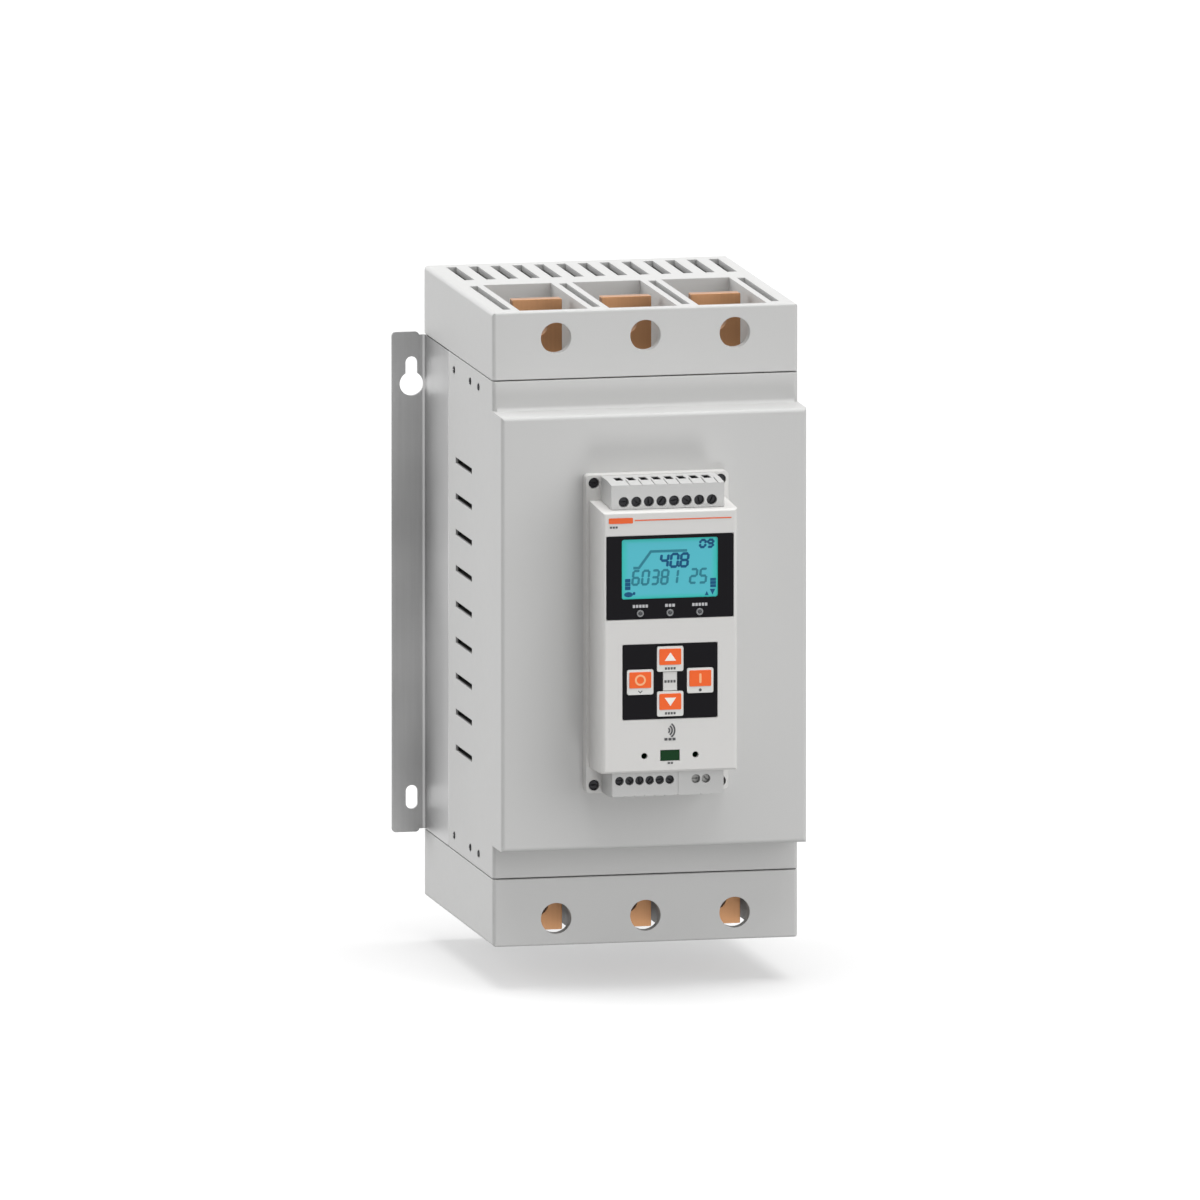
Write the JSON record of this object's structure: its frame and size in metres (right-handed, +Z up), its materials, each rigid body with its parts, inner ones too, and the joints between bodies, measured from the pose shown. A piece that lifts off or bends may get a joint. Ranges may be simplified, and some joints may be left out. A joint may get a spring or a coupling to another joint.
{
  "type": "soft starter",
  "caption": "Wall-mounted motor soft starter: ribbed heat sink and bus bars in a vented housing, with a display, keypad and plug-in terminals on its front.",
  "frame": {"origin": "on the bottom plane, under the middle of the whole part's box", "axes": "+X to the right seen from the front, +Y into the wall, +Z up"},
  "size_m": [0.1884, 0.2206, 0.3174],
  "materials": {
    "housing": "fine moulded texture, light grey",
    "terminal_cover": "fine moulded texture, light grey",
    "control_housing": "fine moulded texture, warm light grey",
    "bracket_steel": "zinc-plated sheet, satin",
    "sink_aluminium": "extruded, natural",
    "copper": "rolled copper, satin",
    "fan_plastic": "moulded black",
    "fan_rotor": "moulded black",
    "module_plastic": "moulded ivory",
    "relay_plastic": "moulded dark grey",
    "transformer_plastic": "potted dark blue",
    "board": "green solder mask",
    "brass": "turned brass",
    "screw_steel": "plated screw steel",
    "bezel_black": "smooth black film",
    "display_glass": "teal display glass",
    "lamp_clear": "clear moulded light pipe",
    "key_plastic": "orange pad on a light grey cap",
    "key_rubber": "grey silicone rubber",
    "port_green": "tinted window",
    "terminal_plastic": "moulded light grey",
    "ribbon": "grey ribbon insulation"
  },
  "bodies": {
    "housing": {"main_cover": "housing", "line_terminal_cover": "terminal_cover", "load_terminal_cover": "terminal_cover", "control_base": "control_housing", "control_case": "control_housing", "side_bracket_left": "bracket_steel", "side_bracket_right": "bracket_steel", "heat_sink": "sink_aluminium", "line_busbar_1": "copper", "line_busbar_2": "copper", "line_busbar_3": "copper", "load_busbar_1": "copper", "load_busbar_2": "copper", "load_busbar_3": "copper", "fan_frame_left": "fan_plastic", "fan_frame_right": "fan_plastic", "thyristor_module_1": "module_plastic", "thyristor_module_2": "module_plastic", "thyristor_module_3": "module_plastic", "bypass_relay_1": "relay_plastic", "bypass_relay_2": "relay_plastic", "bypass_relay_3": "relay_plastic", "current_transformer_1": "transformer_plastic", "current_transformer_2": "transformer_plastic", "current_transformer_3": "transformer_plastic", "driver_board": "board", "control_board": "board", "board_standoffs": "brass", "module_screws": "screw_steel", "busbar_screws": "screw_steel", "bracket_screws": "screw_steel", "fan_screws": "screw_steel", "board_screws": "screw_steel", "side_screws": "screw_steel", "control_unit_screws": "screw_steel", "upper_block_screws": "screw_steel", "lower_block_screws": "screw_steel", "aux_block_screws": "screw_steel", "display_bezel": "bezel_black", "keypad_bezel": "bezel_black", "lcd_panel": "display_glass", "status_lamp_left": "lamp_clear", "status_lamp_middle": "lamp_clear", "status_lamp_right": "lamp_clear", "key_mat": "key_rubber", "port_window": "port_green", "upper_terminal_block": "terminal_plastic", "lower_terminal_block": "terminal_plastic", "aux_terminal_block": "terminal_plastic", "ribbon_cable": "ribbon"},
    "key_up": {"key_up": "key_plastic"},
    "key_down": {"key_down": "key_plastic"},
    "key_stop": {"key_stop": "key_plastic"},
    "key_start": {"key_start": "key_plastic"},
    "fan_rotor_left": {"fan_rotor_left": "fan_rotor"},
    "fan_rotor_right": {"fan_rotor_right": "fan_rotor"}
  },
  "joints": [
    {"name": "key_up_press", "type": "slide", "parent": "housing", "child": "key_up", "axis": [0, 1, 0], "range_m": [0, 0.0008], "stiffness_N_per_m": 1500},
    {"name": "key_down_press", "type": "slide", "parent": "housing", "child": "key_down", "axis": [0, 1, 0], "range_m": [0, 0.0008], "stiffness_N_per_m": 1500},
    {"name": "key_stop_press", "type": "slide", "parent": "housing", "child": "key_stop", "axis": [0, 1, 0], "range_m": [0, 0.0008], "stiffness_N_per_m": 1500},
    {"name": "key_start_press", "type": "slide", "parent": "housing", "child": "key_start", "axis": [0, 1, 0], "range_m": [0, 0.0008], "stiffness_N_per_m": 1500},
    {"name": "fan_left_spin", "type": "hinge", "parent": "housing", "child": "fan_rotor_left", "pos_m": [-0.03712, 0.07925, 0.027], "axis": [0, 0, 1], "continuous": true},
    {"name": "fan_right_spin", "type": "hinge", "parent": "housing", "child": "fan_rotor_right", "pos_m": [0.03712, 0.07925, 0.027], "axis": [0, 0, 1], "continuous": true}
  ]
}
